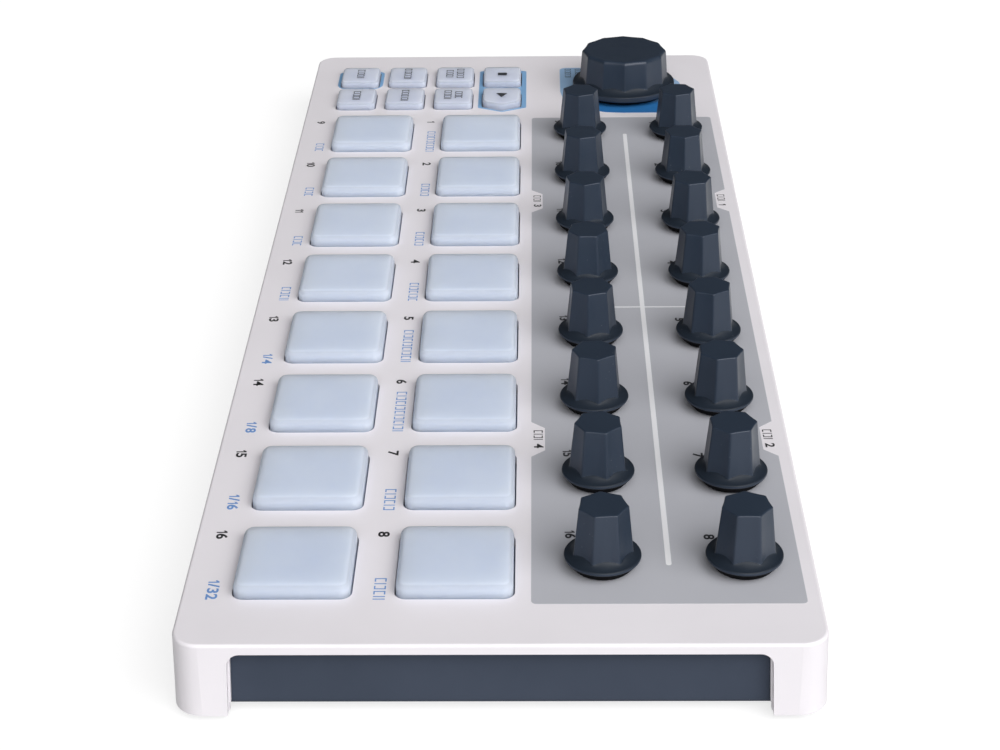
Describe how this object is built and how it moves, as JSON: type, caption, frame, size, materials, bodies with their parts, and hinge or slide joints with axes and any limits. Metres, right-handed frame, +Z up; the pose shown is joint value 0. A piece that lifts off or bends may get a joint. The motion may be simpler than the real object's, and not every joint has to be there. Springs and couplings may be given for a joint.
{
  "type": "midi pad controller",
  "caption": "Flat desktop midi controller with a white case on a dark sheet-metal chassis, rows of square pressure pads, endless rotary encoders, one large knob and small buttons.",
  "frame": {"origin": "on the floor under the middle of the case", "axes": "+X along the length, towards the last pad column; +Y to the back, where the knobs are; +Z up"},
  "size_m": [0.306, 0.1174, 0.0297],
  "materials": {
    "white_case": "fine satin moulding",
    "dark_steel": "powder coat",
    "foot_rubber": "matt",
    "screw_steel": "blackened",
    "board_green": "solder mask",
    "encoder_plastic": "moulded",
    "bush_metal": "plated",
    "sensor_film": "film",
    "lamp_plastic": "clear",
    "switch_plastic": "moulded",
    "chip_plastic": "moulded",
    "socket_metal": "plated",
    "socket_plastic": "moulded",
    "knob_soft_touch": "soft-touch satin",
    "pad_silicone": "translucent matt",
    "button_silicone": "translucent matt"
  },
  "bodies": {
    "case": {"top_case": "white_case", "base_chassis": "dark_steel", "rubber_feet": "foot_rubber", "case_screws": "screw_steel", "main_board": "board_green", "board_screws": "screw_steel", "encoder_bodies": "encoder_plastic", "encoder_bushes": "bush_metal", "pad_sensor_sheet": "sensor_film", "pad_lamps": "lamp_plastic", "button_switches": "switch_plastic", "board_chips": "chip_plastic", "usb_socket": "socket_metal", "jack_sockets": "socket_plastic"},
    "large_knob": {"large_knob": "knob_soft_touch"},
    "encoder_knob_1": {"encoder_knob_1": "knob_soft_touch"},
    "encoder_knob_2": {"encoder_knob_2": "knob_soft_touch"},
    "encoder_knob_3": {"encoder_knob_3": "knob_soft_touch"},
    "encoder_knob_4": {"encoder_knob_4": "knob_soft_touch"},
    "encoder_knob_5": {"encoder_knob_5": "knob_soft_touch"},
    "encoder_knob_6": {"encoder_knob_6": "knob_soft_touch"},
    "encoder_knob_7": {"encoder_knob_7": "knob_soft_touch"},
    "encoder_knob_8": {"encoder_knob_8": "knob_soft_touch"},
    "encoder_knob_9": {"encoder_knob_9": "knob_soft_touch"},
    "encoder_knob_10": {"encoder_knob_10": "knob_soft_touch"},
    "encoder_knob_11": {"encoder_knob_11": "knob_soft_touch"},
    "encoder_knob_12": {"encoder_knob_12": "knob_soft_touch"},
    "encoder_knob_13": {"encoder_knob_13": "knob_soft_touch"},
    "encoder_knob_14": {"encoder_knob_14": "knob_soft_touch"},
    "encoder_knob_15": {"encoder_knob_15": "knob_soft_touch"},
    "encoder_knob_16": {"encoder_knob_16": "knob_soft_touch"},
    "pad_1": {"pad_1": "pad_silicone"},
    "pad_2": {"pad_2": "pad_silicone"},
    "pad_3": {"pad_3": "pad_silicone"},
    "pad_4": {"pad_4": "pad_silicone"},
    "pad_5": {"pad_5": "pad_silicone"},
    "pad_6": {"pad_6": "pad_silicone"},
    "pad_7": {"pad_7": "pad_silicone"},
    "pad_8": {"pad_8": "pad_silicone"},
    "pad_9": {"pad_9": "pad_silicone"},
    "pad_10": {"pad_10": "pad_silicone"},
    "pad_11": {"pad_11": "pad_silicone"},
    "pad_12": {"pad_12": "pad_silicone"},
    "pad_13": {"pad_13": "pad_silicone"},
    "pad_14": {"pad_14": "pad_silicone"},
    "pad_15": {"pad_15": "pad_silicone"},
    "pad_16": {"pad_16": "pad_silicone"},
    "stop_button": {"stop_button": "button_silicone"},
    "play_button": {"play_button": "button_silicone"},
    "mode_button": {"mode_button": "button_silicone"},
    "sync_button": {"sync_button": "button_silicone"},
    "recall_button": {"recall_button": "button_silicone"},
    "store_button": {"store_button": "button_silicone"},
    "shift_button": {"shift_button": "button_silicone"},
    "channel_button": {"channel_button": "button_silicone"}
  },
  "joints": [
    {"name": "large_knob_turn", "type": "hinge", "parent": "case", "child": "large_knob", "pos_m": [-0.1221, 0.032, 0.0164], "axis": [0, 0, 1], "continuous": true},
    {"name": "encoder_knob_1_turn", "type": "hinge", "parent": "case", "child": "encoder_knob_1", "pos_m": [-0.08735, 0.045, 0.0164], "axis": [0, 0, 1], "continuous": true},
    {"name": "encoder_knob_2_turn", "type": "hinge", "parent": "case", "child": "encoder_knob_2", "pos_m": [-0.0567, 0.045, 0.0164], "axis": [0, 0, 1], "continuous": true},
    {"name": "encoder_knob_3_turn", "type": "hinge", "parent": "case", "child": "encoder_knob_3", "pos_m": [-0.02605, 0.045, 0.0164], "axis": [0, 0, 1], "continuous": true},
    {"name": "encoder_knob_4_turn", "type": "hinge", "parent": "case", "child": "encoder_knob_4", "pos_m": [0.0046, 0.045, 0.0164], "axis": [0, 0, 1], "continuous": true},
    {"name": "encoder_knob_5_turn", "type": "hinge", "parent": "case", "child": "encoder_knob_5", "pos_m": [0.03525, 0.045, 0.0164], "axis": [0, 0, 1], "continuous": true},
    {"name": "encoder_knob_6_turn", "type": "hinge", "parent": "case", "child": "encoder_knob_6", "pos_m": [0.0659, 0.045, 0.0164], "axis": [0, 0, 1], "continuous": true},
    {"name": "encoder_knob_7_turn", "type": "hinge", "parent": "case", "child": "encoder_knob_7", "pos_m": [0.09655, 0.045, 0.0164], "axis": [0, 0, 1], "continuous": true},
    {"name": "encoder_knob_8_turn", "type": "hinge", "parent": "case", "child": "encoder_knob_8", "pos_m": [0.1272, 0.045, 0.0164], "axis": [0, 0, 1], "continuous": true},
    {"name": "encoder_knob_9_turn", "type": "hinge", "parent": "case", "child": "encoder_knob_9", "pos_m": [-0.08735, 0.0188, 0.0164], "axis": [0, 0, 1], "continuous": true},
    {"name": "encoder_knob_10_turn", "type": "hinge", "parent": "case", "child": "encoder_knob_10", "pos_m": [-0.0567, 0.0188, 0.0164], "axis": [0, 0, 1], "continuous": true},
    {"name": "encoder_knob_11_turn", "type": "hinge", "parent": "case", "child": "encoder_knob_11", "pos_m": [-0.02605, 0.0188, 0.0164], "axis": [0, 0, 1], "continuous": true},
    {"name": "encoder_knob_12_turn", "type": "hinge", "parent": "case", "child": "encoder_knob_12", "pos_m": [0.0046, 0.0188, 0.0164], "axis": [0, 0, 1], "continuous": true},
    {"name": "encoder_knob_13_turn", "type": "hinge", "parent": "case", "child": "encoder_knob_13", "pos_m": [0.03525, 0.0188, 0.0164], "axis": [0, 0, 1], "continuous": true},
    {"name": "encoder_knob_14_turn", "type": "hinge", "parent": "case", "child": "encoder_knob_14", "pos_m": [0.0659, 0.0188, 0.0164], "axis": [0, 0, 1], "continuous": true},
    {"name": "encoder_knob_15_turn", "type": "hinge", "parent": "case", "child": "encoder_knob_15", "pos_m": [0.09655, 0.0188, 0.0164], "axis": [0, 0, 1], "continuous": true},
    {"name": "encoder_knob_16_turn", "type": "hinge", "parent": "case", "child": "encoder_knob_16", "pos_m": [0.1272, 0.0188, 0.0164], "axis": [0, 0, 1], "continuous": true},
    {"name": "pad_1_press", "type": "slide", "parent": "case", "child": "pad_1", "axis": [0, 0, -1], "range_m": [0, 0.0006], "stiffness_N_per_m": 600, "springref_m": -0.001},
    {"name": "pad_2_press", "type": "slide", "parent": "case", "child": "pad_2", "axis": [0, 0, -1], "range_m": [0, 0.0006], "stiffness_N_per_m": 600, "springref_m": -0.001},
    {"name": "pad_3_press", "type": "slide", "parent": "case", "child": "pad_3", "axis": [0, 0, -1], "range_m": [0, 0.0006], "stiffness_N_per_m": 600, "springref_m": -0.001},
    {"name": "pad_4_press", "type": "slide", "parent": "case", "child": "pad_4", "axis": [0, 0, -1], "range_m": [0, 0.0006], "stiffness_N_per_m": 600, "springref_m": -0.001},
    {"name": "pad_5_press", "type": "slide", "parent": "case", "child": "pad_5", "axis": [0, 0, -1], "range_m": [0, 0.0006], "stiffness_N_per_m": 600, "springref_m": -0.001},
    {"name": "pad_6_press", "type": "slide", "parent": "case", "child": "pad_6", "axis": [0, 0, -1], "range_m": [0, 0.0006], "stiffness_N_per_m": 600, "springref_m": -0.001},
    {"name": "pad_7_press", "type": "slide", "parent": "case", "child": "pad_7", "axis": [0, 0, -1], "range_m": [0, 0.0006], "stiffness_N_per_m": 600, "springref_m": -0.001},
    {"name": "pad_8_press", "type": "slide", "parent": "case", "child": "pad_8", "axis": [0, 0, -1], "range_m": [0, 0.0006], "stiffness_N_per_m": 600, "springref_m": -0.001},
    {"name": "pad_9_press", "type": "slide", "parent": "case", "child": "pad_9", "axis": [0, 0, -1], "range_m": [0, 0.0006], "stiffness_N_per_m": 600, "springref_m": -0.001},
    {"name": "pad_10_press", "type": "slide", "parent": "case", "child": "pad_10", "axis": [0, 0, -1], "range_m": [0, 0.0006], "stiffness_N_per_m": 600, "springref_m": -0.001},
    {"name": "pad_11_press", "type": "slide", "parent": "case", "child": "pad_11", "axis": [0, 0, -1], "range_m": [0, 0.0006], "stiffness_N_per_m": 600, "springref_m": -0.001},
    {"name": "pad_12_press", "type": "slide", "parent": "case", "child": "pad_12", "axis": [0, 0, -1], "range_m": [0, 0.0006], "stiffness_N_per_m": 600, "springref_m": -0.001},
    {"name": "pad_13_press", "type": "slide", "parent": "case", "child": "pad_13", "axis": [0, 0, -1], "range_m": [0, 0.0006], "stiffness_N_per_m": 600, "springref_m": -0.001},
    {"name": "pad_14_press", "type": "slide", "parent": "case", "child": "pad_14", "axis": [0, 0, -1], "range_m": [0, 0.0006], "stiffness_N_per_m": 600, "springref_m": -0.001},
    {"name": "pad_15_press", "type": "slide", "parent": "case", "child": "pad_15", "axis": [0, 0, -1], "range_m": [0, 0.0006], "stiffness_N_per_m": 600, "springref_m": -0.001},
    {"name": "pad_16_press", "type": "slide", "parent": "case", "child": "pad_16", "axis": [0, 0, -1], "range_m": [0, 0.0006], "stiffness_N_per_m": 600, "springref_m": -0.001},
    {"name": "stop_button_press", "type": "slide", "parent": "case", "child": "stop_button", "axis": [0, 0, -1], "range_m": [0, 0.0005], "stiffness_N_per_m": 500, "springref_m": -0.001},
    {"name": "play_button_press", "type": "slide", "parent": "case", "child": "play_button", "axis": [0, 0, -1], "range_m": [0, 0.0005], "stiffness_N_per_m": 500, "springref_m": -0.001},
    {"name": "mode_button_press", "type": "slide", "parent": "case", "child": "mode_button", "axis": [0, 0, -1], "range_m": [0, 0.0005], "stiffness_N_per_m": 500, "springref_m": -0.001},
    {"name": "sync_button_press", "type": "slide", "parent": "case", "child": "sync_button", "axis": [0, 0, -1], "range_m": [0, 0.0005], "stiffness_N_per_m": 500, "springref_m": -0.001},
    {"name": "recall_button_press", "type": "slide", "parent": "case", "child": "recall_button", "axis": [0, 0, -1], "range_m": [0, 0.0005], "stiffness_N_per_m": 500, "springref_m": -0.001},
    {"name": "store_button_press", "type": "slide", "parent": "case", "child": "store_button", "axis": [0, 0, -1], "range_m": [0, 0.0005], "stiffness_N_per_m": 500, "springref_m": -0.001},
    {"name": "shift_button_press", "type": "slide", "parent": "case", "child": "shift_button", "axis": [0, 0, -1], "range_m": [0, 0.0005], "stiffness_N_per_m": 500, "springref_m": -0.001},
    {"name": "channel_button_press", "type": "slide", "parent": "case", "child": "channel_button", "axis": [0, 0, -1], "range_m": [0, 0.0005], "stiffness_N_per_m": 500, "springref_m": -0.001}
  ]
}
